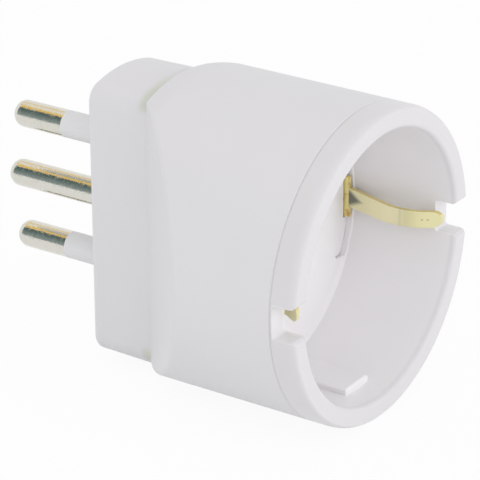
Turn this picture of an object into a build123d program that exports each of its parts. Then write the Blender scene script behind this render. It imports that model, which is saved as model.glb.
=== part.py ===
from build123d import *
import os
from math import radians, sin, sqrt, tan

# Socket adapter: a round earthed socket on an in-line plug with three round pins, in millimetres.
# The origin is the centre of the face that meets the wall. +Y runs along the plug pins, the socket
# opens towards -Y and +Z runs up the row of pins. A depth is a distance from the wall face towards -Y.

# Socket recess
recess_diameter = 39.0
recess_depth = 17.4
recess_floor_chamfer = 0.6
rim_inner_height = 0.6
rim_inner_length = 0.8
rim_round_length = 1.6
rim_round_height = 0.6
collar_length = 3.9
notch_width = 4.8
notch_depth = 3.5
notch_corner = 0.5
notch_lip_round = 0.8
guide_width = 5.8
guide_height = 1.1
guide_setback = 4.2
guide_round = 0.35
entry_diameter = 5.6
entry_chamfer = 0.4

# Walls and fits of the two mouldings
cup_wall = 1.3
housing_wall = 1.7
shoulder_wall = 1.8
block_wall = 1.6
web_thickness = 4.0
floor_thickness = 1.5
seam_chamfer = 0.2
moulding_clearance = 0.1
pin_clearance = 0.05

# Plug block behind the round body, and the shoulder and flared sides that lead to it
block_width = 16.2
block_step = 1.1
block_drop = 0.6
block_root = 2.0
block_depth = 10.3
block_draft = 1.0
block_corner = 3.0
block_inner_corner = 1.0
block_edge_round = 0.9
shoulder_round_length = 5.4
shoulder_overshoot = 0.05
flare_angle = 45.0
flare_wall = 1.2
flare_round = 0.8
cup_gap = 0.3

# Snap bead and keys that hold the insert in the housing
bead_height = 0.3
bead_length = 1.6
bead_setback = 5.0
key_width = 3.0
key_height = 0.7
key_reach = 4.7

# Plug pins
pin_diameter = 4.0
pin_pitch = 9.5
pin_length = 18.4
earth_lead = 1.15
pin_tip_height = 1.5
pin_tip_length = 1.6
root_step = 0.2
collar_step = 0.5
pin_collar_length = 1.2
sleeve_wall = 0.5
sleeve_length = 9.4
sleeve_root = 1.5
tail_diameter = 2.6
rivet_step = 0.45
rivet_height = 0.9
rivet_chamfer = 0.3

# Spring contacts of the line and neutral pins, with a shroud round each
contact_thickness = 0.7
contact_base_half = 3.2
contact_grip_half = 2.45
contact_mouth_half = 3.2
contact_mouth_length = 3.0
contact_mouth_gap = 2.3
contact_bend = 1.0
contact_grip_bend = 2.5
shroud_wall = 1.0
shroud_clearance = 0.4
shroud_lift = 3.3

# Earth strap and its two side clips
boss_wall = 0.9
boss_gap = 0.3
strap_thickness = 0.6
strap_width = 6.2
strap_bend = 1.2
strap_inset = 1.0
strap_gap = 0.3
foot_rise = 0.3
clip_root_width = 2.9
clip_tip_width = 2.4
clip_root_bend = 1.5
clip_waist_inset = 3.9
clip_waist_setback = 6.9
clip_waist_bend = 8.0
clip_tip_inset = 0.7
clip_tip_setback = 1.8
window_margin = 0.2
window_length = 4.1
window_width = 17.6
window_corner = 0.6

# Worked-out sizes: radii from the axis outwards
recess_radius = recess_diameter / 2
cup_radius = recess_radius + cup_wall
bore_radius = cup_radius + moulding_clearance
body_radius = bore_radius + housing_wall
block_radius = body_radius - block_step
shoulder_radius = block_radius - block_drop
pin_radius = pin_diameter / 2
root_radius = pin_radius + root_step
collar_radius = pin_radius + collar_step
neck_radius = pin_radius - sleeve_wall
tail_radius = tail_diameter / 2
rivet_radius = tail_radius + rivet_step
boss_radius = collar_radius + boss_wall
shroud_radius = pin_pitch - boss_radius - boss_gap
shroud_bore = shroud_radius - shroud_wall
strap_half_span = recess_radius - strap_inset
window_radius = recess_radius - window_margin


def flare_depth(half_width, inset=0.0):
    """Depth at which a flared side, or its inner face when inset, is this far from the axis."""
    widening = half_width - block_width / 2
    return block_depth + widening / tan(radians(flare_angle)) + inset / sin(radians(flare_angle))


# Worked-out depths, from the wall face to the mouth
cavity_depth = block_depth + shoulder_wall
cup_rear_depth = flare_depth(cup_radius, flare_wall) + cup_gap
floor_depth = cup_rear_depth + floor_thickness
body_length = floor_depth + recess_depth
seam_depth = body_length - collar_length
bead_depth = seam_depth - bead_setback
key_depth = cup_rear_depth + key_reach
contact_mouth_depth = cup_rear_depth - contact_mouth_gap
contact_grip_depth = contact_mouth_depth - contact_mouth_length
contact_base_depth = web_thickness + contact_thickness / 2
shroud_depth = web_thickness + contact_thickness + shroud_lift
strap_depth = cavity_depth + strap_thickness / 2
foot_depth = floor_depth + foot_rise

# Length by which a cutting shape runs past the face that it opens, and closeness of edges picked by place
overrun = 1.0
match = 0.001

profile_plane = Plane(origin=(0, 0, 0), x_dir=(1, 0, 0), z_dir=(0, 0, -1))
blank_plane = Plane(origin=(0, 0, 0), x_dir=(0, 0, 1), z_dir=(1, 0, 0))


def disc(radius, start, end, z=0.0):
    """Round bar along the pins between two depths."""
    return extrude(Plane.XZ.offset(start) * Pos(0, z) * Circle(radius), amount=end - start)


def slab(width, height, start, end, x=0.0, z=0.0):
    """Rectangular bar along the pins between two depths."""
    return extrude(Plane.XZ.offset(start) * Pos(x, z) * Rectangle(width, height), amount=end - start)


def turned(points):
    """Solid turned round the pins' direction from points that give radius and depth."""
    return revolve(profile_plane * make_face(Polyline(*points, close=True)), axis=Axis.Y)


def edges_at(solid, depth):
    """Edges of a solid that lie whole at one depth."""
    return solid.edges().filter_by_position(Axis.Y, -depth - match, -depth + match)


def with_half_turn(solid):
    """A solid and its copy turned half round the axis."""
    return solid + Rot(0, 180, 0) * solid


def block_outline(inset, corner):
    """Plug block's section: a disc with two flat sides and rounded corners, a little below the axis."""
    radius = block_radius - inset
    outline = Rectangle(block_width - 2 * inset, 2 * radius) & Circle(radius)
    return Pos(0, -block_drop) * fillet(outline.vertices(), corner)


def flared_prism(inset=0.0):
    """Bar along Z with sides that flare from the plug block's width to beyond the body."""
    near = block_width / 2 - inset
    far = body_radius + overrun
    right = [(near, flare_depth(near, inset)), (far, flare_depth(far, inset)), (far, seam_depth)]
    left = [(-x, depth) for x, depth in reversed(right)]
    plan = profile_plane * make_face(Polyline(*right, *left, close=True))
    return extrude(plan, amount=body_radius, both=True)


def snap_ring(lift):
    """Wedge-shaped ring on the cup, or the groove for it when lifted by the clearance."""
    root = cup_radius + lift
    half = bead_length / 2
    return turned([
        (root - bead_height, bead_depth - half),
        (root, bead_depth - half),
        (bore_radius + bead_height + lift, bead_depth),
        (root, bead_depth + half),
        (root - bead_height, bead_depth + half),
    ])


def shoulder_ring():
    """Ring that rounds the body off to the plug block; its curve leaves the body at a slight angle."""
    height = body_radius - shoulder_radius + shoulder_overshoot
    centre = (shoulder_radius, block_depth + shoulder_round_length)
    curve = EllipticalCenterArc(centre, height, shoulder_round_length, start_angle=270, arc_size=90)
    far = body_radius + overrun
    outside = Polyline(
        curve @ 1,
        (far, block_depth + shoulder_round_length),
        (far, block_depth - overrun),
        (shoulder_radius, block_depth - overrun),
        curve @ 0,
    )
    return revolve(profile_plane * make_face([curve, outside]), axis=Axis.Y)


def make_rear_housing():
    """Plug block and round tube in one moulding, with the wall that carries the pins."""
    tube = disc(body_radius, block_depth, seam_depth) & flared_prism()
    flares = tube.faces().filter_by(GeomType.PLANE).filter_by(lambda face: abs(face.normal_at().X) > match)
    tube = fillet(flares.edges().filter_by(lambda edge: edge.center().Y < -block_depth - match), flare_round)
    tube -= shoulder_ring()
    tube = chamfer(edges_at(tube, seam_depth), seam_chamfer)
    root_depth = block_depth + block_root
    root_plane = Plane(origin=(0, -root_depth, 0), x_dir=(-1, 0, 0), z_dir=(0, 1, 0))
    block = extrude(root_plane * block_outline(0, block_corner), amount=root_depth, taper=block_draft)
    block = fillet(edges_at(block, 0), block_edge_round)

    inner_outline = Plane.XZ.offset(web_thickness) * block_outline(block_wall, block_inner_corner)
    hollow = extrude(inner_outline, amount=cavity_depth - web_thickness)
    hollow -= disc(boss_radius, web_thickness, cavity_depth)
    hollow += disc(bore_radius, cavity_depth, seam_depth) & flared_prism(flare_wall)
    hollow -= with_half_turn(
        slab(key_width, 2 * key_height, cavity_depth, key_depth, z=bore_radius)
    )
    hollow += snap_ring(moulding_clearance)

    hole = root_radius + pin_clearance
    seat = collar_radius + pin_clearance
    for z in (pin_pitch, -pin_pitch):
        hollow += disc(hole, -overrun, web_thickness, z)
        hollow += disc(seat, web_thickness - pin_collar_length, web_thickness, z)
    hollow += disc(hole, -overrun, cavity_depth)
    hollow += disc(seat, cavity_depth - pin_collar_length, cavity_depth)
    return tube + block - hollow


def make_notch():
    """Slot through the rim for a side clip, with a round floor and a rounded lip."""
    half = notch_width / 2
    end = body_length - notch_depth
    lip = body_length - notch_lip_round
    across = Plane(origin=(recess_radius - overrun, 0, 0), x_dir=(0, 0, 1), z_dir=(1, 0, 0))
    mouth_half = half + notch_lip_round
    slot = Pos(0, (end + lip) / 2) * RectangleRounded(notch_width, lip - end, notch_corner)
    slot += Pos(0, (lip - notch_corner + body_length) / 2) * Rectangle(
        notch_width, notch_lip_round + notch_corner
    )
    mouth = Pos(0, lip + notch_lip_round / 2) * Rectangle(2 * mouth_half, notch_lip_round)
    for side in (mouth_half, -mouth_half):
        mouth -= Pos(side, lip) * Circle(notch_lip_round)
    return extrude(across * (slot + mouth), amount=body_radius - recess_radius + 2 * overrun)


def make_socket_insert():
    """Collar, cup and floor of the socket in one moulding."""
    rim_centre = (body_radius - rim_round_height, body_length - rim_round_length)
    rim = EllipticalCenterArc(rim_centre, rim_round_height, rim_round_length, arc_size=90)
    inner_centre = (recess_radius + rim_inner_height, body_length - rim_inner_length)
    inner_rim = EllipticalCenterArc(
        inner_centre, rim_inner_height, rim_inner_length, start_angle=90, arc_size=90
    )
    land = Line(rim @ 1, inner_rim @ 0)
    walls = Polyline(
        inner_rim @ 1,
        (recess_radius, floor_depth + recess_floor_chamfer),
        (recess_radius - recess_floor_chamfer, floor_depth),
        (0, floor_depth),
        (0, cup_rear_depth),
        (cup_radius, cup_rear_depth),
        (cup_radius, seam_depth),
        (body_radius - seam_chamfer, seam_depth),
        (body_radius, seam_depth + seam_chamfer),
        rim @ 0,
    )
    insert = revolve(profile_plane * make_face([rim, land, inner_rim, walls]), axis=Axis.Y)
    insert += snap_ring(0)

    guide = slab(
        guide_width,
        guide_height + cup_wall / 2,
        floor_depth - floor_thickness / 2,
        body_length - guide_setback,
        z=recess_radius - guide_height / 2 + cup_wall / 4,
    )
    insert += with_half_turn(fillet(guide.faces().sort_by(Axis.Z)[0].edges(), guide_round))

    entry_radius = entry_diameter / 2
    entry = turned([
        (0, cup_rear_depth - overrun),
        (entry_radius, cup_rear_depth - overrun),
        (entry_radius, floor_depth - entry_chamfer),
        (entry_radius + entry_chamfer, floor_depth),
        (0, floor_depth),
    ])
    for z in (pin_pitch, -pin_pitch):
        insert += disc(shroud_radius, shroud_depth, cup_rear_depth, z)
        insert -= disc(shroud_bore, shroud_depth - overrun, cup_rear_depth, z)
        insert -= Pos(0, 0, z) * entry

    window = disc(window_radius, cup_rear_depth - overrun, floor_depth + overrun)
    window &= slab(
        2 * window_length,
        window_width,
        cup_rear_depth - overrun,
        floor_depth + overrun,
        x=window_radius,
    )
    insert -= with_half_turn(fillet(window.edges().filter_by(Axis.Y), window_corner))
    insert -= with_half_turn(make_notch())

    keyway_height = key_height + 2 * moulding_clearance
    keyway = slab(
        key_width + 2 * moulding_clearance,
        2 * keyway_height,
        cup_rear_depth - overrun,
        key_depth + moulding_clearance,
        z=bore_radius,
    )
    return insert - with_half_turn(keyway)


def riveted_pin(length, waist, seat_depth, strip_thickness):
    """Turned pin: tip, waist, thicker root, collar in its seat, and a tail riveted over a strip."""
    strip_depth = seat_depth + strip_thickness
    head_depth = strip_depth + rivet_height
    tip_centre = (pin_radius - pin_tip_height, pin_tip_length - length)
    tip = EllipticalCenterArc(tip_centre, pin_tip_height, pin_tip_length, start_angle=270, arc_size=90)
    rest = Polyline(
        tip @ 1,
        *waist,
        (root_radius, seat_depth - pin_collar_length),
        (collar_radius, seat_depth - pin_collar_length),
        (collar_radius, seat_depth),
        (tail_radius, seat_depth),
        (tail_radius, strip_depth),
        (rivet_radius, strip_depth),
        (rivet_radius, head_depth - rivet_chamfer),
        (rivet_radius - rivet_chamfer, head_depth),
        (0, head_depth),
        (0, -length),
        tip @ 0,
    )
    return revolve(profile_plane * make_face([tip, rest]), axis=Axis.Y)


def make_live_pin():
    """Line or neutral pin, with a neck for its sleeve."""
    waist = [
        (pin_radius, -sleeve_length),
        (neck_radius, -sleeve_length),
        (neck_radius, sleeve_root),
        (root_radius, sleeve_root),
    ]
    return riveted_pin(pin_length, waist, web_thickness, contact_thickness)


def make_earth_pin():
    """Bare pin, longer than the others, on the earth strap."""
    waist = [(pin_radius, 0), (root_radius, 0)]
    return riveted_pin(pin_length + earth_lead, waist, cavity_depth, strap_thickness)


def make_sleeve():
    """Insulating sleeve, flush with its pin, on a thicker root that the housing holds."""
    sleeve = disc(pin_radius, -sleeve_length, 0) + disc(root_radius, 0, sleeve_root)
    return sleeve - disc(neck_radius, -sleeve_length, sleeve_root)


def bent_strip(half_path, bends, thickness, width):
    """Symmetrical strip of sheet metal bent along a path; the path's right half gives X and depth."""
    left = [(-x, depth) for x, depth in reversed(half_path)]
    path = FilletPolyline(*half_path, *left, radius=bends + bends[::-1])
    return extrude(profile_plane * trace(path, thickness), amount=width / 2, both=True)


def make_contact():
    """Two spring jaws on a base that the pin's tail is riveted through."""
    jaw_room = shroud_bore - shroud_clearance
    jaw_reach = contact_mouth_half + contact_thickness / 2
    width = 2 * sqrt(jaw_room**2 - jaw_reach**2)
    half_path = [
        (contact_mouth_half, contact_mouth_depth),
        (contact_grip_half, contact_grip_depth),
        (contact_base_half, contact_base_depth),
    ]
    contact = bent_strip(half_path, [contact_grip_bend, contact_bend], contact_thickness, width)
    return contact - disc(tail_radius + pin_clearance, 0, contact_grip_depth)


def clip_blank():
    """Earth strap seen along X: wide up to the foot, then a slim clip with a round tip."""
    tip_radius = clip_tip_width / 2
    tip_centre = body_length - clip_tip_setback - tip_radius
    foot = Pos(0, foot_depth / 2) * Rectangle(strap_width, foot_depth)
    clip = make_face(
        Polyline(
            (-clip_root_width / 2, foot_depth),
            (clip_root_width / 2, foot_depth),
            (tip_radius, tip_centre),
            (-tip_radius, tip_centre),
            close=True,
        )
    )
    return foot + clip + Pos(0, tip_centre) * Circle(tip_radius)


def make_earth_strap():
    """Bent strip across the housing whose two ends are the side clips of the socket."""
    waist = (recess_radius - clip_waist_inset, body_length - clip_waist_setback)
    tip = (recess_radius - clip_tip_inset, body_length - clip_tip_setback)
    past_tip = (2 * tip[0] - waist[0], 2 * tip[1] - waist[1])
    flare_inset = flare_wall + strap_gap + strap_thickness / 2
    elbow_depth = flare_depth(strap_half_span, flare_inset)
    flat_half = strap_half_span - (elbow_depth - strap_depth) * tan(radians(flare_angle))
    half_path = [
        past_tip,
        waist,
        (strap_half_span, foot_depth),
        (strap_half_span, elbow_depth),
        (flat_half, strap_depth),
    ]
    bends = [clip_waist_bend, clip_root_bend, strap_bend, strap_bend]
    strap = bent_strip(half_path, bends, strap_thickness, strap_width)
    strap &= extrude(blank_plane * clip_blank(), amount=recess_radius, both=True)
    return strap - disc(tail_radius + pin_clearance, 0, floor_depth)


live_pin = make_live_pin()
sleeve = make_sleeve()
contact = make_contact()
line_place = Pos(0, 0, pin_pitch)
neutral_place = Pos(0, 0, -pin_pitch)

nodes = {
    "rear_housing": make_rear_housing(),
    "socket_insert": make_socket_insert(),
    "line_pin": line_place * live_pin,
    "neutral_pin": neutral_place * live_pin,
    "earth_pin": make_earth_pin(),
    "line_sleeve": line_place * sleeve,
    "neutral_sleeve": neutral_place * sleeve,
    "line_contact": line_place * contact,
    "neutral_contact": neutral_place * contact,
    "earth_strap": make_earth_strap(),
}

os.makedirs("parts", exist_ok=True)
for name, solid in nodes.items():
    export_step(solid, f"parts/{name}.step")
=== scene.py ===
"""Looks of the earthed socket adapter: white mouldings, nickel pins, brass clips, a pale floor."""

import math

import bmesh
import bpy
from mathutils import Matrix, Vector


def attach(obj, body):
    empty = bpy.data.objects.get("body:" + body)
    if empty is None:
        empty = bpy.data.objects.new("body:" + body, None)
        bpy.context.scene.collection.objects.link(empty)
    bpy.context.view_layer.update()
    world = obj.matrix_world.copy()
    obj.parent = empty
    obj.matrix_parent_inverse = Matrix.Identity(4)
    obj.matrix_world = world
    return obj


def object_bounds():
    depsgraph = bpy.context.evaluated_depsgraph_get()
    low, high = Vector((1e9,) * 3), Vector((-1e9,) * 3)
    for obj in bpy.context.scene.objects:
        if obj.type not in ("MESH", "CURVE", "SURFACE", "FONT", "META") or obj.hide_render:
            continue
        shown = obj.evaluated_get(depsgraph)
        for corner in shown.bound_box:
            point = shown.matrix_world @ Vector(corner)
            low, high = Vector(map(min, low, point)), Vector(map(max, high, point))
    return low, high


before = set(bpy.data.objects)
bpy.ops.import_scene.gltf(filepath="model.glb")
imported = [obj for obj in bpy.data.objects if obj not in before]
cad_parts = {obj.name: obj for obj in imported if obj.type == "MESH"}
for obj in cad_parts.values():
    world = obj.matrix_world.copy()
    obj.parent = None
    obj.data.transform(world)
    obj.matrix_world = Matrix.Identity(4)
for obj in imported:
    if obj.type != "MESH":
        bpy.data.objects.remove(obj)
size_at_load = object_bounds()

MM = 0.001
ALONG_X = (1.0, 0.0, 0.0)
ALONG_Z = (0.0, 0.0, 1.0)

# Camera at the photograph's viewing angle: place, turn about X, Y and Z in degrees, and its lens
CAMERA_PLACE = Vector((-307.644, -228.053, 163.976)) * MM
CAMERA_TURN = (65.9728, 0.2774, -56.0872)
CAMERA_LENS = 217.889
CAMERA_SENSOR = 36.0
CAMERA_CLIP = (0.01, 10.0)

# Floor under the round body
FLOOR_SIZE = 3.0
FLOOR_GAP = 0.02 * MM
FLOOR_COLOUR = (0.92, 0.92, 0.92, 1.0)
FLOOR_ROUGHNESS = 0.9
FLOOR_WHITE_SHARE = 0.93

# Soft light: an even white room, and large soft boxes with place, size and power
ROOM_STRENGTH = 0.79
ROOM_COLOUR = (1.0, 1.0, 1.0, 1.0)
SOFT_BOXES = {
    "soft_box_camera": ((-0.65, -0.65, 0.45), 0.8, 0.9),
    "soft_box_front": ((0.05, -1.0, 0.25), 0.8, 2.8),
    "soft_box_rear": ((-0.5, 0.8, 0.3), 0.8, 1.1),
}

# Cards that only shiny pieces reflect: place, width and height, colour at the top and at the bottom
CARDS = {
    "dark_card": (
        (-0.64, 0.43, 0.35),
        (1.0, 0.85),
        (0.07, 0.13, 0.135, 1.0),
        (0.32, 0.38, 0.38, 1.0),
    ),
    "gold_card_low": (
        (-0.25, 0.42, 0.66),
        (0.9, 0.13),
        (1.0, 0.72, 0.14, 1.0),
        (1.0, 0.58, 0.06, 1.0),
    ),
    "gold_card_high": (
        (0.40, 0.41, 0.56),
        (0.9, 0.10),
        (1.0, 0.70, 0.14, 1.0),
        (1.0, 0.64, 0.12, 1.0),
    ),
}

# Noise patterns: scale on coordinates in metres, and detail
CLOUDS = (90.0, 3.0)
GLOSS_PATCHES = (400.0, 3.0)
ORANGE_PEEL = (1800.0, 1.0)
TARNISH_PATCHES = (260.0, 4.0)
POLISH_STREAKS = (500.0, 2.0)
SCRATCHES = (1500.0, 2.0)
DULL_SPECKS = (1700.0, 3.0)
HAMMERING = (1800.0, 2.0)
BROWN_SPECKS = (900.0, 4.0)

# White plastics: tones, roughness, depth of the orange peel, and what they share
HOUSING_WHITE = (0.765, 0.755, 0.78, 1.0)
HOUSING_ROUGHNESS = 0.45
HOUSING_PEEL = 0.002 * MM
# Paler than the collar: the painted light of the recess and its notches
RECESS_LIT_WHITE = (0.90, 0.885, 0.905, 1.0)
INSERT_ROUGHNESS = 0.33
INSERT_PEEL = 0.001 * MM
SLEEVE_WHITE = (0.79, 0.79, 0.805, 1.0)
SLEEVE_ROUGHNESS = 0.45
SLEEVE_PEEL = 0.001 * MM
COLLAR_WHITE = (0.735, 0.72, 0.745, 1.0)
# Grey-green of the painted shade in the housing's crease
CREASE_SHADE_GREY = (0.65, 0.675, 0.605, 1.0)
PLASTIC_SHADE = 0.975
PLASTIC_SPREAD = 0.04
PLASTIC_IOR = 1.5
PLASTIC_SPECULAR = 0.4

# Metals: tones, share of tarnish, roughness and its spread, and depth of the relief
NICKEL_PALE = (0.72, 0.71, 0.66, 1.0)
NICKEL_WARM = (0.62, 0.60, 0.52, 1.0)
NICKEL_TARNISH = 0.6
NICKEL_ROUGHNESS = 0.14
NICKEL_SCRATCH_DEPTH = 0.0005 * MM
NICKEL_HAMMER_DEPTH = 0.02 * MM
DULL_ROUGHNESS = (0.05, 0.30)
BRASS_BRIGHT = (0.92, 0.88, 0.58, 1.0)
BRASS_OCHRE = (0.76, 0.63, 0.24, 1.0)
BRASS_FOOT = (0.95, 0.83, 0.36, 1.0)
BRASS_BROWN = (0.62, 0.36, 0.07, 1.0)
BRASS_TIP_SHADE = (0.80, 0.755, 0.44, 1.0)
# Dark of the painted shade in the clips' crease and dimples and of the painted dark reflection at
# their root
BRASS_PAINTED_DARK = (0.21, 0.215, 0.175, 1.0)
BRASS_TARNISH = 0.3
BRASS_ROUGHNESS = 0.34
BRASS_METALLIC = 0.45
BRASS_SCRATCH_DEPTH = 0.001 * MM
POLISH_BELOW = 0.05
POLISH_ABOVE = 0.07
SCRATCH_STRETCH = (3.0, 0.2, 3.0)

# Each fade below is a pair: the value at which a mark is whole, and the value at which it has gone

# Specks in the metals, by noise, and ochre edges of the brass, by how far they face up or down
DULL_FADE = (0.36, 0.60)
BROWN_FADE = (0.30, 0.52)
EDGE_FADE = (0.8, 0.4)

# Recess painted pale as painted light, by distance from the middle line and by Y
ACROSS_PART = (1.0, 0.0, 1.0)
RECESS_FADE = (19.6 * MM, 20.6 * MM)
RIM_FADE = (-42.8 * MM, -43.5 * MM)

# Notches of the rim painted half-pale as painted light on their shade, by distance from Z = 0 and
# by Y
NOTCH_SIDE_FADE = (2.43 * MM, 2.6 * MM)
NOTCH_END_FADE = (-40.38 * MM, -40.3 * MM)
NOTCH_LIGHT_SHARE = 0.45

# Painted shade in the crease at the ends of the plug block, where the round shoulder starts
CREASE_Y = -9.8 * MM
CREASE_FADE = (0.3 * MM, 1.5 * MM)
CREASE_END_FADE = (18.9 * MM, 17.5 * MM)
CREASE_CORNER_FADE = (6.5 * MM, -3.25 * MM)
CREASE_RADIUS_FADE = (21.1 * MM, 21.5 * MM)

# Marks on the brass clips, by Y: the tip in painted shade, two dimples and a crease pressed in and
# in painted shade, the foot, and the wedge at the root, a painted dark reflection
ON_CLIP = (0.0, 1.0, 1.0)
TIP_SHADE_FADE = (-37.6 * MM, -36.2 * MM)
DIMPLE_PLACES = (-39.7 * MM, -40.4 * MM)
DIMPLE_FADE = (0.08 * MM, 0.2 * MM)
DIMPLE_SHARE = 0.5
CLIP_CREASE_Y = -36.6 * MM
CLIP_CREASE_FADE = (0.08 * MM, 0.3 * MM)
CLIP_CREASE_SHARE = 0.16
CLIP_PRESS_DEPTH = 0.05 * MM
FOOT_FADE = (-26.7 * MM, -27.1 * MM)
WEDGE_Y = -26.8 * MM
WEDGE_START_FADE = (0.15 * MM, -0.1 * MM)
WEDGE_WIDTH_FADE = (0.75 * MM, 1.75 * MM)
WEDGE_TAPER = 0.5

# White plates that close the two floor windows: radius, inner X limit, half width, rear and front Y
WINDOW_PLATES = {
    "window_backs": (20.4 * MM, 14.4 * MM, 15.0 * MM, -24.7 * MM, -24.99 * MM),
    "window_pads": (19.25 * MM, 15.3 * MM, 8.7 * MM, -25.0 * MM, -26.05 * MM),
}
PLATE_STEPS = 76
PLATE_CORNER = 0.5 * MM
PLATE_CORNER_STEPS = 5
PLATE_EDGE = 0.05 * MM
PLATE_EDGE_STEPS = 2
SLOT_X = 18.0 * MM
SLOT_HALF = 3.3 * MM

# Turn, in radians, past which a corner or edge is sharp, and how near two places count as one
SHARP_TURN = 0.5
SAME_PLACE = 0.001 * MM

# Kinds of socket of the node groups
VECTOR = "NodeSocketVector"
COLOUR = "NodeSocketColor"
NUMBER = "NodeSocketFloat"


def feed(tree, value, socket):
    """Lead a constant or another node's output into a socket."""
    if isinstance(value, bpy.types.NodeSocket):
        tree.links.new(value, socket)
    else:
        socket.default_value = value


def fill(tree, node, inputs):
    """Constants or other nodes' outputs on a node's inputs."""
    for name, value in inputs.items():
        feed(tree, value, node.inputs[name])


def add_node(tree, kind, inputs=None, **settings):
    """New node of a material or group, with its own settings and inputs."""
    node = tree.nodes.new(kind)
    for name, value in settings.items():
        setattr(node, name, value)
    fill(tree, node, inputs or {})
    return node


def calculate(tree, operation, first, *others):
    """Arithmetic on numbers or outputs, with one step for each further value."""
    result = first
    for other in others or (0.0,):
        step = add_node(tree, "ShaderNodeMath", {0: result, 1: other}, operation=operation)
        result = step.outputs["Value"]
    return result


def absolute(tree, value):
    """A value without its sign."""
    return calculate(tree, "ABSOLUTE", value)


def noise(tree, place, scale, detail):
    """Noise on the piece's own coordinates."""
    inputs = {"Vector": place, "Scale": scale, "Detail": detail}
    return add_node(tree, "ShaderNodeTexNoise", inputs).outputs["Fac"]


def map_range(tree, value, low, high):
    """A 0 to 1 value spread over another range."""
    inputs = {"Value": value, "To Min": low, "To Max": high}
    return add_node(tree, "ShaderNodeMapRange", inputs).outputs["Result"]


def fade(tree, value, whole, gone):
    """1 at the first limit and past it, 0 at the second and past it, and smooth between them."""
    inputs = {"Value": value, "From Min": whole, "From Max": gone, "To Min": 1.0, "To Max": 0.0}
    node = add_node(tree, "ShaderNodeMapRange", inputs, interpolation_type="SMOOTHSTEP")
    return node.outputs["Result"]


def blend_colours(tree, share, first, second):
    """Mix of two colours, each a colour or another node's output."""
    inputs = {"Factor": share, "A": first, "B": second}
    return add_node(tree, "ShaderNodeMix", inputs, data_type="RGBA").outputs["Result"]


def split(tree, vector):
    """X, Y and Z of a place or a direction."""
    return add_node(tree, "ShaderNodeSeparateXYZ", {"Vector": vector}).outputs


def distance(tree, place, axes, centre=(0.0, 0.0, 0.0)):
    """Distance from a point, measured along some of the axes only."""
    flat = add_node(tree, "ShaderNodeVectorMath", {0: place, 1: axes}, operation="MULTIPLY")
    ends = {0: flat.outputs["Vector"], 1: centre}
    return add_node(tree, "ShaderNodeVectorMath", ends, operation="DISTANCE").outputs["Value"]


def off_line(tree, along, centre):
    """Distance from a line across the piece, on either side of it."""
    return absolute(tree, calculate(tree, "SUBTRACT", along, centre))


def new_group(name, inputs):
    """Empty node group of a surface; returns it with what it is given and its end node."""
    group = bpy.data.node_groups.new(name, "ShaderNodeTree")
    for socket, kind in inputs.items():
        group.interface.new_socket(socket, in_out="INPUT", socket_type=kind)
    for socket, kind in (("Colour", COLOUR), ("Roughness", NUMBER), ("Height", NUMBER)):
        group.interface.new_socket(socket, in_out="OUTPUT", socket_type=kind)
    start = add_node(group, "NodeGroupInput")
    end = add_node(group, "NodeGroupOutput")
    return group, start.outputs, end


def build_moulded_skin():
    """Surface of moulded plastic: faint cloudy tone, uneven gloss and a fine orange peel."""
    inputs = {
        "Place": VECTOR,
        "Colour": COLOUR,
        "Shade": COLOUR,
        "Roughness Low": NUMBER,
        "Roughness High": NUMBER,
    }
    group, given, end = new_group("moulded_skin", inputs)
    place = given["Place"]
    clouds = noise(group, place, *CLOUDS)
    patches = noise(group, place, *GLOSS_PATCHES)
    surface = {
        "Colour": blend_colours(group, clouds, given["Colour"], given["Shade"]),
        "Roughness": map_range(group, patches, given["Roughness Low"], given["Roughness High"]),
        "Height": noise(group, place, *ORANGE_PEEL),
    }
    fill(group, end, surface)
    return group


def build_worn_metal():
    """Surface of thin metal: patches of tarnish, uneven polish and scratches along an axis."""
    inputs = {
        "Place": VECTOR,
        "Stretched Place": VECTOR,
        "Colour": COLOUR,
        "Tarnish": COLOUR,
        "Tarnish Share": NUMBER,
        "Roughness Low": NUMBER,
        "Roughness High": NUMBER,
    }
    group, given, end = new_group("worn_metal", inputs)
    stretched = given["Stretched Place"]
    patches = noise(group, given["Place"], *TARNISH_PATCHES)
    share = calculate(group, "MULTIPLY", patches, given["Tarnish Share"])
    streaks = noise(group, stretched, *POLISH_STREAKS)
    surface = {
        "Colour": blend_colours(group, share, given["Colour"], given["Tarnish"]),
        "Roughness": map_range(group, streaks, given["Roughness Low"], given["Roughness High"]),
        "Height": noise(group, stretched, *SCRATCHES),
    }
    fill(group, end, surface)
    return group


def start_material(name):
    """New material; returns it with its tree and its shader."""
    material = bpy.data.materials.new(name)
    material.use_nodes = True
    tree = material.node_tree
    return material, tree, tree.nodes["Principled BSDF"]


def own_place(tree):
    """The piece's own coordinates."""
    return add_node(tree, "ShaderNodeTexCoord").outputs["Object"]


def place_group(tree, group, inputs):
    """A shared surface in a material, with this material's inputs; returns what it puts out."""
    return add_node(tree, "ShaderNodeGroup", inputs, node_tree=group).outputs


def add_relief(tree, height, depth, under=None):
    """Bump from a height, laid over another relief if there is one; returns the normal."""
    inputs = {"Strength": 1.0, "Distance": depth, "Height": height}
    if under is not None:
        inputs["Normal"] = under
    return add_node(tree, "ShaderNodeBump", inputs).outputs["Normal"]


def painted_recess_light(tree, place, tone):
    """Recess painted pale as painted light, turning greyer on the rim and the collar, and notches
    painted half-pale as painted light on their shade.
    """
    axes = split(tree, place)
    recess = (
        fade(tree, distance(tree, place, ACROSS_PART), *RECESS_FADE),
        fade(tree, axes["Y"], *RIM_FADE),
    )
    notches = (
        fade(tree, absolute(tree, axes["Z"]), *NOTCH_SIDE_FADE),
        fade(tree, axes["Y"], *NOTCH_END_FADE),
        NOTCH_LIGHT_SHARE,
    )
    masks = [calculate(tree, "MULTIPLY", *limits) for limits in (recess, notches)]
    return blend_colours(tree, calculate(tree, "MAXIMUM", *masks), COLLAR_WHITE, tone)


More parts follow.
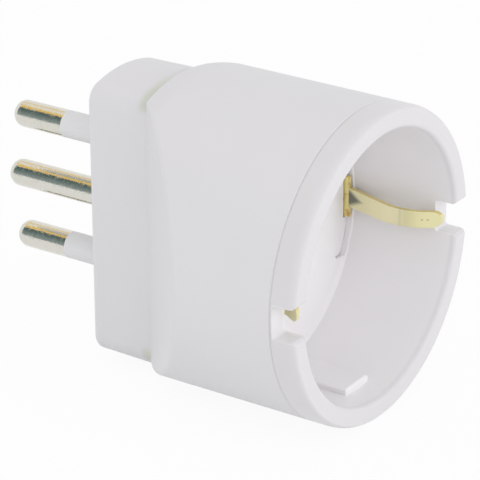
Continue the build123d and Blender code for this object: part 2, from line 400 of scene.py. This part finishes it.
def painted_crease_shade(tree, place, tone):
    """Grey-green painted shade in the crease between the block's ends and the shoulder."""
    axes = split(tree, place)
    limits = (
        fade(tree, off_line(tree, axes["Y"], CREASE_Y), *CREASE_FADE),
        fade(tree, absolute(tree, axes["Z"]), *CREASE_END_FADE),
        fade(tree, absolute(tree, axes["X"]), *CREASE_CORNER_FADE),
        fade(tree, distance(tree, place, ACROSS_PART), *CREASE_RADIUS_FADE),
    )
    return blend_colours(tree, calculate(tree, "MULTIPLY", *limits), tone, CREASE_SHADE_GREY)


def plastic(name, group, colour, roughness, peel_depth, painted_tone=None):
    """White moulded plastic with its own tone and gloss, and, where it has one, a tone of painted
    light (the recess) or painted shade (the crease) over it.
    """
    material, tree, shader = start_material(name)
    place = own_place(tree)
    inputs = {
        "Place": place,
        "Colour": colour,
        "Shade": [channel * PLASTIC_SHADE for channel in colour[:3]] + [1.0],
        "Roughness Low": roughness - PLASTIC_SPREAD,
        "Roughness High": roughness + PLASTIC_SPREAD,
    }
    surface = place_group(tree, group, inputs)
    tone = surface["Colour"]
    if painted_tone is not None:
        tone = painted_tone(tree, place, tone)
    finish = {
        "Base Color": tone,
        "Roughness": surface["Roughness"],
        "Normal": add_relief(tree, surface["Height"], peel_depth),
        "IOR": PLASTIC_IOR,
        "Specular IOR Level": PLASTIC_SPECULAR,
    }
    fill(tree, shader, finish)
    return material


def worn_surface(tree, group, place, colour, tarnish, share, roughness):
    """Shared metal surface with scratches that run along the pins."""
    stretched = add_node(tree, "ShaderNodeMapping", {"Vector": place, "Scale": SCRATCH_STRETCH})
    inputs = {
        "Place": place,
        "Stretched Place": stretched.outputs["Vector"],
        "Colour": colour,
        "Tarnish": tarnish,
        "Tarnish Share": share,
        "Roughness Low": roughness - POLISH_BELOW,
        "Roughness High": roughness + POLISH_ABOVE,
    }
    return place_group(tree, group, inputs)


def plated_pin(group):
    """Polished nickel of the three plug pins, with a slightly hammered look in its reflections."""
    material, tree, shader = start_material("nickel")
    place = own_place(tree)
    surface = worn_surface(
        tree, group, place, NICKEL_PALE, NICKEL_WARM, NICKEL_TARNISH, NICKEL_ROUGHNESS
    )
    specks = fade(tree, noise(tree, place, *DULL_SPECKS), *DULL_FADE)
    dull = map_range(tree, specks, *DULL_ROUGHNESS)
    scratched = add_relief(tree, surface["Height"], NICKEL_SCRATCH_DEPTH)
    hammered = noise(tree, place, *HAMMERING)
    finish = {
        "Base Color": surface["Colour"],
        "Metallic": 1.0,
        "Roughness": calculate(tree, "MAXIMUM", surface["Roughness"], dull),
        "Normal": add_relief(tree, hammered, NICKEL_HAMMER_DEPTH, scratched),
    }
    fill(tree, shader, finish)
    return material


def pressed_and_shaded_marks(tree, place, along):
    """Mask of what is pressed into the clips, a faint crease and two dimples; it sets their bump
    and their painted shade.
    """
    crease = fade(tree, off_line(tree, along, CLIP_CREASE_Y), *CLIP_CREASE_FADE)
    centres = [(0.0, along_clip, 0.0) for along_clip in DIMPLE_PLACES]
    spots = [fade(tree, distance(tree, place, ON_CLIP, centre), *DIMPLE_FADE) for centre in centres]
    dimples = calculate(tree, "MAXIMUM", *spots)
    faint_crease = calculate(tree, "MULTIPLY", crease, CLIP_CREASE_SHARE)
    faint_dimples = calculate(tree, "MULTIPLY", dimples, DIMPLE_SHARE)
    return calculate(tree, "MAXIMUM", faint_crease, faint_dimples)


def root_painted_reflection(tree, along, across):
    """Mask of the painted dark reflection, a wedge where a clip leaves its foot."""
    out = calculate(tree, "SUBTRACT", WEDGE_Y, along)
    reach = calculate(tree, "ADD", across, calculate(tree, "MULTIPLY", out, WEDGE_TAPER))
    width = fade(tree, reach, *WEDGE_WIDTH_FADE)
    return calculate(tree, "MULTIPLY", width, fade(tree, out, *WEDGE_START_FADE))


def brass_tone(tree, place, along, tone, dark):
    """Brass from the tip to the foot: a tip darkened as painted shade, ochre edges, brown specks,
    and dark marks of painted shade and painted reflection.
    """
    normal = add_node(tree, "ShaderNodeNewGeometry").outputs["Normal"]
    edge = fade(tree, absolute(tree, split(tree, normal)["Z"]), *EDGE_FADE)
    brown = fade(tree, noise(tree, place, *BROWN_SPECKS), *BROWN_FADE)
    foot_tone = blend_colours(tree, brown, BRASS_FOOT, BRASS_BROWN)
    tone = blend_colours(tree, fade(tree, along, *TIP_SHADE_FADE), tone, BRASS_TIP_SHADE)
    tone = blend_colours(tree, edge, tone, BRASS_OCHRE)
    tone = blend_colours(tree, fade(tree, along, *FOOT_FADE), tone, foot_tone)
    return blend_colours(tree, dark, tone, BRASS_PAINTED_DARK)


def sprung_brass(group):
    """Bare brass of the bent strips, with the marks of the two side clips."""
    material, tree, shader = start_material("brass")
    place = own_place(tree)
    axes = split(tree, place)
    along = axes["Y"]
    surface = worn_surface(
        tree, group, place, BRASS_BRIGHT, BRASS_OCHRE, BRASS_TARNISH, BRASS_ROUGHNESS
    )
    # Painted shade in the pressed crease and dimples, and a painted dark reflection at the root of
    # each clip
    marks = pressed_and_shaded_marks(tree, place, along)
    wedge = root_painted_reflection(tree, along, absolute(tree, axes["Z"]))
    dark = calculate(tree, "MAXIMUM", marks, wedge)
    scratched = add_relief(tree, surface["Height"], BRASS_SCRATCH_DEPTH)
    pressed = calculate(tree, "SUBTRACT", 1.0, marks)
    finish = {
        "Base Color": brass_tone(tree, place, along, surface["Colour"], dark),
        "Metallic": BRASS_METALLIC,
        "Roughness": surface["Roughness"],
        "Normal": add_relief(tree, pressed, CLIP_PRESS_DEPTH, scratched),
    }
    fill(tree, shader, finish)
    return material


def put_in_scene(name, data):
    """New object in the scene, with its mesh, lamp or camera."""
    item = bpy.data.objects.new(name, data)
    bpy.context.scene.collection.objects.link(item)
    return item


def make_object(name, shape, material):
    """Object from a finished shape, in its finish."""
    mesh = bpy.data.meshes.new(name)
    shape.to_mesh(mesh)
    shape.free()
    mesh.materials.append(material)
    return put_in_scene(name, mesh)


def all_of(shape):
    """Every corner, edge and face of a shape."""
    return shape.verts[:] + shape.edges[:] + shape.faces[:]


def cut_across(shape, place, direction, **cleared):
    """Cut through a flat shape, with the named side of the cut cleared away if there is one."""
    bmesh.ops.bisect_plane(shape, geom=all_of(shape), plane_co=place, plane_no=direction, **cleared)


def round_off(shape, sharp, affect, size, steps):
    """Bevel of the sharp corners or edges of a shape."""
    bmesh.ops.bevel(
        shape, geom=sharp, affect=affect, offset=size, segments=steps, profile=0.5, material=-1
    )


def plate_outline(radius, inner, half_width, front):
    """Flat D of a plate: the outer part of a disc, with rounded corners."""
    shape = bmesh.new()
    turn = Matrix.Translation((0.0, front, 0.0)) @ Matrix.Rotation(math.pi / 2, 4, "X")
    bmesh.ops.create_circle(shape, cap_ends=True, segments=PLATE_STEPS, radius=radius, matrix=turn)
    cut_across(shape, (inner, 0.0, 0.0), ALONG_X, clear_inner=True)
    cut_across(shape, (0.0, 0.0, half_width), ALONG_Z, clear_outer=True)
    cut_across(shape, (0.0, 0.0, -half_width), ALONG_Z, clear_inner=True)
    corners = [corner for corner in shape.verts if corner.calc_edge_angle(0.0) > SHARP_TURN]
    round_off(shape, corners, "VERTICES", PLATE_CORNER, PLATE_CORNER_STEPS)
    return shape


def in_slot(face):
    """Whether a face of a plate lies where the strap passes."""
    middle = face.calc_center_median()
    return middle.x > SLOT_X and abs(middle.z) < SLOT_HALF


def cut_slot(shape):
    """Slot for the strap in the outline of a plate."""
    cut_across(shape, (SLOT_X, 0.0, 0.0), ALONG_X)
    for side in (-SLOT_HALF, SLOT_HALF):
        cut_across(shape, (0.0, 0.0, side), ALONG_Z)
    slot = [face for face in shape.faces if in_slot(face)]
    bmesh.ops.delete(shape, geom=slot, context="FACES")


def thicken(shape, depth):
    """Push an outline out along Y, to a plate."""
    pushed = bmesh.ops.extrude_face_region(shape, geom=shape.faces[:])
    corners = [part for part in pushed["geom"] if isinstance(part, bmesh.types.BMVert)]
    bmesh.ops.translate(shape, vec=(0.0, depth, 0.0), verts=corners)


def soften_front(shape, front):
    """Small bevel round the outline of a plate's front."""
    outline = [
        edge
        for edge in shape.edges
        if edge.calc_face_angle(0.0) > SHARP_TURN
        and all(abs(corner.co.y - front) < SAME_PLACE for corner in edge.verts)
    ]
    round_off(shape, outline, "EDGES", PLATE_EDGE, PLATE_EDGE_STEPS)


def close_windows(name, radius, inner, half_width, rear, front, material):
    """White plate in each floor window, which hides the closed inner room."""
    shape = plate_outline(radius, inner, half_width, front)
    cut_slot(shape)
    thicken(shape, rear - front)
    soften_front(shape, front)
    bmesh.ops.mirror(shape, geom=all_of(shape), axis="X", merge_dist=0.0)
    bmesh.ops.recalc_face_normals(shape, faces=shape.faces)
    piece = make_object(name, shape, material)
    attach(piece, "root")


def dress_part():
    """Finish of every piece that comes from the frame, and the plates in the floor windows."""
    skin = build_moulded_skin()
    worn = build_worn_metal()
    housing = plastic(
        "housing_white", skin, HOUSING_WHITE, HOUSING_ROUGHNESS, HOUSING_PEEL, painted_crease_shade
    )
    insert = plastic("insert_white", skin, RECESS_LIT_WHITE, INSERT_ROUGHNESS, INSERT_PEEL, painted_recess_light)
    sleeve = plastic("sleeve_white", skin, SLEEVE_WHITE, SLEEVE_ROUGHNESS, SLEEVE_PEEL)
    nickel = plated_pin(worn)
    brass = sprung_brass(worn)
    finishes = {
        "rear_housing": housing,
        "socket_insert": insert,
        "line_pin": nickel,
        "neutral_pin": nickel,
        "earth_pin": nickel,
        "line_sleeve": sleeve,
        "neutral_sleeve": sleeve,
        "line_contact": brass,
        "neutral_contact": brass,
        "earth_strap": brass,
    }
    for node, material in finishes.items():
        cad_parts[node].material_slots[0].material = material
    for name, sizes in WINDOW_PLATES.items():
        close_windows(name, *sizes, insert)


def flat_sheet(name, width, height, material):
    """Flat rectangle in the XY plane, centred on the origin, as a new object."""
    shape = bmesh.new()
    bmesh.ops.create_grid(shape, x_segments=1, y_segments=1, size=0.5)
    bmesh.ops.scale(shape, vec=(width, height, 1.0), verts=shape.verts)
    sheet = make_object(name, shape, material)
    return sheet


def show(tree, surface):
    """A surface led to the material's output."""
    feed(tree, surface, tree.nodes["Material Output"].inputs["Surface"])


def seen_share(tree):
    """1 on rays that show the surroundings: straight, in a mirror or through a clear piece."""
    rays = add_node(tree, "ShaderNodeLightPath").outputs
    kinds = ("Is Camera Ray", "Is Glossy Ray", "Is Transmission Ray")
    return calculate(tree, "MAXIMUM", *(rays[kind] for kind in kinds))


def mix_surfaces(tree, share, first, second):
    """Mix of two surfaces by a share."""
    node = add_node(tree, "ShaderNodeMixShader", {"Fac": share, 1: first, 2: second})
    return node.outputs["Shader"]


def floor_finish():
    """Pale floor that keeps the part's shadow, runs out to white and is clear from below."""
    material, tree, shader = start_material("floor_white")
    matt = {"Base Color": FLOOR_COLOUR, "Roughness": FLOOR_ROUGHNESS, "Specular IOR Level": 0.0}
    fill(tree, shader, matt)
    white = add_node(tree, "ShaderNodeEmission").outputs["Emission"]
    share = calculate(tree, "MULTIPLY", seen_share(tree), FLOOR_WHITE_SHARE)
    above = mix_surfaces(tree, share, shader.outputs["BSDF"], white)
    below = add_node(tree, "ShaderNodeNewGeometry").outputs["Backfacing"]
    clear = add_node(tree, "ShaderNodeBsdfTransparent").outputs["BSDF"]
    show(tree, mix_surfaces(tree, below, above, clear))
    return material


def lay_floor():
    """Floor just under the lowest point of the part."""
    floor = flat_sheet("floor", FLOOR_SIZE, FLOOR_SIZE, floor_finish())
    low_corner, _ = size_at_load
    floor.location.z = low_corner[2] - FLOOR_GAP


def face_part(item, place):
    """Put a lamp or card at its place, with its -Z side turned to the part."""
    item.location = place
    item.rotation_mode = "QUATERNION"
    item.rotation_quaternion = (-Vector(place)).to_track_quat("-Z", "Y")


def card_finish(name, height, upper, lower):
    """Glow that goes from one colour at the top of a card to another at the bottom."""
    material, tree, _ = start_material(name)
    along = split(tree, own_place(tree))["Y"]
    low_share = fade(tree, along, -height / 2, height / 2)
    colour = blend_colours(tree, low_share, upper, lower)
    show(tree, add_node(tree, "ShaderNodeEmission", {"Color": colour}).outputs["Emission"])
    return material


def stand_card(name, place, size, upper, lower):
    """Card beside the set that shows in reflections alone."""
    width, height = size
    card = flat_sheet(name, width, height, card_finish(name, height, upper, lower))
    face_part(card, place)
    card.visible_camera = False
    card.visible_diffuse = False
    card.visible_shadow = False


def light_room():
    """Even white surroundings: white where they are seen, softer as light."""
    world = bpy.data.worlds.new("white_room")
    bpy.context.scene.world = world
    world.use_nodes = True
    tree = world.node_tree
    strength = map_range(tree, seen_share(tree), ROOM_STRENGTH, 1.0)
    fill(tree, tree.nodes["Background"], {"Color": ROOM_COLOUR, "Strength": strength})


def hang_soft_box(name, place, size, power):
    """Large square lamp that faces the part and shows in no reflection."""
    lamp = bpy.data.lights.new(name, "AREA")
    lamp.size = size
    lamp.energy = power
    soft_box = put_in_scene(name, lamp)
    soft_box.visible_glossy = False
    face_part(soft_box, place)


def set_camera():
    """Camera at the photograph's viewing angle."""
    data = bpy.data.cameras.new("camera")
    data.lens = CAMERA_LENS
    data.sensor_width = CAMERA_SENSOR
    data.clip_start, data.clip_end = CAMERA_CLIP
    camera = put_in_scene("camera", data)
    camera.location = CAMERA_PLACE
    camera.rotation_euler = [math.radians(angle) for angle in CAMERA_TURN]
    bpy.context.scene.camera = camera


dress_part()
lay_floor()
light_room()
for box_name, (box_place, box_size, box_power) in SOFT_BOXES.items():
    hang_soft_box(box_name, box_place, box_size, box_power)
for card_name, (card_place, card_size, card_top, card_bottom) in CARDS.items():
    stand_card(card_name, card_place, card_size, card_top, card_bottom)
set_camera()
bpy.context.scene.view_settings.view_transform = "Standard"
